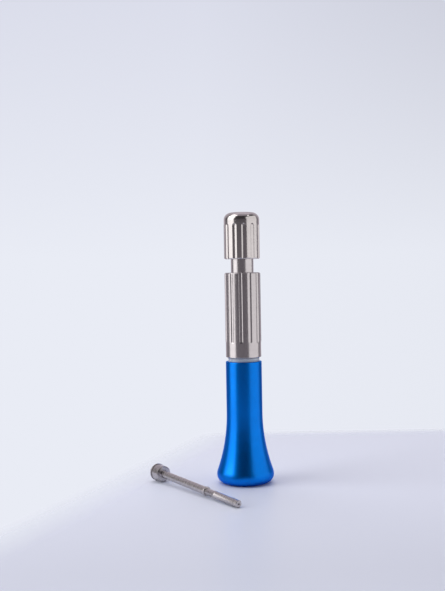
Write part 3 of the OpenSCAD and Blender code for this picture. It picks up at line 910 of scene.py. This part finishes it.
class DRIVER_OT_stage(bpy.types.Operator):
    """Pale table, soft lights and the camera"""

    bl_idname = "driver.stage"
    bl_label = "Stage"

    def execute(self, context):
        p = context.scene.driver_stage
        self.table(context.scene, p)
        self.lights(context.scene, p)
        self.camera(context.scene, p)
        return {"FINISHED"}

    def table(self, scene, p):
        material = bpy.data.materials.new("Pale table")
        material.use_nodes = True
        n = Nodes(material.node_tree)
        shader = material.node_tree.nodes["Principled BSDF"]
        vector = n.add("ShaderNodeTexCoord").outputs["Object"]
        split = n.add("ShaderNodeSeparateXYZ")
        n.set(split.inputs[0], vector)
        back = split.outputs[1]
        cloud = n.math("MULTIPLY", n.noise(vector, 14.0, 2.0), 0.06)
        # Painted shade: the table's colour is made darker towards the front; the cloud noise adds a faint
        # random mottle.
        shade = n.math("ADD", n.ramp(back, -0.09, -0.01, 0.85, 0.0), cloud)
        n.set(shader.inputs["Base Color"], n.mix(shade, (*p.table, 1.0), darker(p.table, 0.85)))
        shader.inputs["Roughness"].default_value = 0.42
        shader.inputs["Specular IOR Level"].default_value = 0.3
        # Painted light and shade: past the soft edge of the dim area the camera sees the bright backdrop
        # colour instead of the lit table, painting the edge of a broad soft shadow onto the table.
        dim = self.dim_area(n, p, vector, split.outputs[0], back)
        seen = n.add("ShaderNodeLightPath").outputs["Is Camera Ray"]
        n.set(shader.inputs["Alpha"], n.math("MAXIMUM", dim, n.math("SUBTRACT", 1.0, seen)))
        bm = bmesh.new()
        bmesh.ops.create_circle(bm, cap_ends=True, segments=96, radius=p.near_r)
        near = self.stage_mesh(scene, bm, "table_near", material)
        bm = bmesh.new()
        ends = [bm.verts.new((p.near_r, 0, 0)), bm.verts.new((3.0, 0, 0))]
        line = bm.edges.new(ends)
        bmesh.ops.spin(bm, geom=ends + [line], cent=(0, 0, 0), axis=(0, 0, 1),
                       angle=2 * math.pi, steps=96, use_merge=True)
        bmesh.ops.recalc_face_normals(bm, faces=bm.faces)
        far = self.stage_mesh(scene, bm, "table_far", material)
        far.visible_glossy = False

    def dim_area(self, n, p, vector, x, y):
        # Painted shade: this mask marks the shadowed part of the table; the table is painted brighter outside
        # it.
        """Mask of the dimmer part of the table: straight, soft edges, and gone further out."""
        side_soft, back_soft = 0.009, 0.005
        across = n.math("ADD", n.math("MULTIPLY", x, math.cos(p.dim_turn)),
                        n.math("MULTIPLY", y, math.sin(p.dim_turn)))
        beside = n.ramp(across, -p.dim_side - side_soft, -p.dim_side + side_soft)
        behind = n.ramp(y, p.dim_back - back_soft, p.dim_back + back_soft, 1.0, 0.0)
        away = n.add("ShaderNodeVectorMath", operation="LENGTH")
        n.set(away.inputs[0], vector)
        near = n.ramp(away.outputs["Value"], 0.22, 0.40, 1.0, 0.0)
        return n.math("MULTIPLY", n.math("MULTIPLY", beside, behind), near)

    def stage_mesh(self, scene, bm, name, material):
        """Makes the object of a part of the stage."""
        mesh = bpy.data.meshes.new(name)
        bm.to_mesh(mesh)
        bm.free()
        mesh.materials.append(material)
        obj = bpy.data.objects.new(name, mesh)
        scene.collection.objects.link(obj)
        return obj

    def softbox(self, scene, name, heading, distance, height, width, tall, radiance, glossy=True):
        """An area light that faces the tool. Heading 0 is in front, 90 to the right; sizes are in metres."""
        target_z = 0.045
        light = bpy.data.lights.new(name, "AREA")
        light.shape = "RECTANGLE"
        light.size = width
        light.size_y = tall
        light.energy = math.pi * width * tall * radiance
        lamp = bpy.data.objects.new(name, light)
        scene.collection.objects.link(lamp)
        turn = math.radians(heading)
        lamp.location = (distance * math.sin(turn), -distance * math.cos(turn), height)
        aim = Vector((0, 0, target_z)) - lamp.location
        lamp.rotation_euler = aim.to_track_quat("-Z", "Y").to_euler()
        lamp.visible_camera = False
        lamp.visible_glossy = glossy

    def lights(self, scene, p):
        self.softbox(scene, "softbox_left", -77, 0.6, 0.20, 0.58, 0.75, p.left_light)
        self.softbox(scene, "softbox_high", -75, 0.5, 0.46, 0.42, 0.70, p.high_light)
        self.softbox(scene, "softbox_right", 72, 0.7, 0.22, 1.2, 0.8, p.right_light)
        self.softbox(scene, "spot_right", 62, 0.5, 0.75, 0.12, 0.12, p.spot_light)
        self.softbox(scene, "softbox_top", 180, 0.4, 0.9, 0.9, 0.9, p.top_light, glossy=False)
        world = bpy.data.worlds.new("Soft room")
        world.use_nodes = True
        tree = world.node_tree
        n = Nodes(tree)
        split = n.add("ShaderNodeSeparateXYZ")
        n.set(split.inputs[0], n.add("ShaderNodeTexCoord").outputs["Generated"])
        x, y, z = split.outputs
        room = tree.nodes["Background"]
        room.inputs["Color"].default_value = (0.97, 0.90, 1.0, 1.0)
        n.set(room.inputs["Strength"], n.math("MULTIPLY", self.room_light(n, y, z), p.room))
        # Painted shade: the backdrop the camera sees is made darker higher up and towards the right.
        high = n.ramp(z, 0.02, 0.30)
        aside = n.ramp(x, -0.02, 0.24)
        shade = n.math("MULTIPLY", aside, n.ramp(high, 0.0, 1.0, 0.025, 0.13))
        seen = n.add("ShaderNodeBackground")
        n.set(seen.inputs["Color"], n.mix(high, (*p.sweep_low, 1.0), (*p.sweep_high, 1.0)))
        n.set(seen.inputs["Strength"], n.math("SUBTRACT", 1.0, shade))
        mix = n.add("ShaderNodeMixShader")
        n.set(mix.inputs[0], n.add("ShaderNodeLightPath").outputs["Is Camera Ray"])
        n.set(mix.inputs[1], room.outputs[0])
        n.set(mix.inputs[2], seen.outputs[0])
        n.set(tree.nodes["World Output"].inputs["Surface"], mix.outputs[0])
        scene.world = world
        scene.view_settings.view_transform = "Standard"

    def room_light(self, n, y, z):
        """Brightness of the room by direction: dark in front, brighter overhead and straight behind."""
        total = 0.05
        over = n.math("ADD", y, n.math("MULTIPLY", z, 0.6))
        regions = (
            (z, 0.16, -0.02, 0.17),  # the floor
            (z, 0.76, 0.90, 0.40),  # overhead
            (over, 0.60, 0.9, 0.40),  # from straight behind up to overhead
            (y, 0.10, 0.80, 0.10),  # the whole back
            (y, 0.90, 0.97, 0.20),  # straight behind
        )
        for value, start, end, gain in regions:
            total = n.math("ADD", n.ramp(value, start, end, 0.0, gain), total)
        return total

    def camera(self, scene, p):
        data = bpy.data.cameras.new("camera")
        data.lens = p.camera_lens
        data.sensor_width = 36.0
        data.clip_start, data.clip_end = 0.01, 20.0
        camera = bpy.data.objects.new("camera", data)
        scene.collection.objects.link(camera)
        camera.location = (p.camera_x, p.camera_y, p.camera_z)
        level = Matrix.Rotation(math.pi / 2 - p.camera_pitch, 3, "X")
        camera.rotation_euler = (level @ Matrix.Rotation(-p.camera_roll, 3, "Z")).to_euler()
        scene.camera = camera


class DRIVER_PT_panel(bpy.types.Panel):
    """Sizes, finishes and building steps of the hand driver"""

    bl_idname = "DRIVER_PT_panel"
    bl_label = "Hand Driver"
    bl_space_type = "VIEW_3D"
    bl_region_type = "UI"
    bl_category = "Hand Driver"

    def draw(self, context):
        layout = self.layout
        for operator in OPERATORS:
            layout.operator(operator.bl_idname)
        for group in (context.scene.driver_sizes, context.scene.driver_finishes, context.scene.driver_stage):
            box = layout.box()
            for key in group.__annotations__:
                box.prop(group, key)


OPERATORS = (
    DRIVER_OT_palm_grip,
    DRIVER_OT_slip_washer,
    DRIVER_OT_barrel,
    DRIVER_OT_spindle,
    DRIVER_OT_nose_cap,
    DRIVER_OT_bit,
    DRIVER_OT_inner_works,
    DRIVER_OT_stage,
)
GROUPS = {
    "driver_sizes": DRIVER_PG_sizes,
    "driver_finishes": DRIVER_PG_finishes,
    "driver_stage": DRIVER_PG_stage,
}


def register():
    for cls in (*GROUPS.values(), *OPERATORS, DRIVER_PT_panel):
        bpy.utils.register_class(cls)
    for name, group in GROUPS.items():
        setattr(bpy.types.Scene, name, bpy.props.PointerProperty(type=group))


def unregister():
    for name in GROUPS:
        delattr(bpy.types.Scene, name)
    for cls in reversed((*GROUPS.values(), *OPERATORS, DRIVER_PT_panel)):
        bpy.utils.unregister_class(cls)


def main():
    register()
    bpy.ops.driver.palm_grip()
    bpy.ops.driver.slip_washer()
    bpy.ops.driver.barrel()
    bpy.ops.driver.spindle()
    bpy.ops.driver.nose_cap()
    bpy.ops.driver.bit()
    bpy.ops.driver.inner_works()
    bpy.ops.driver.stage()


if __name__ == "__main__":
    main()
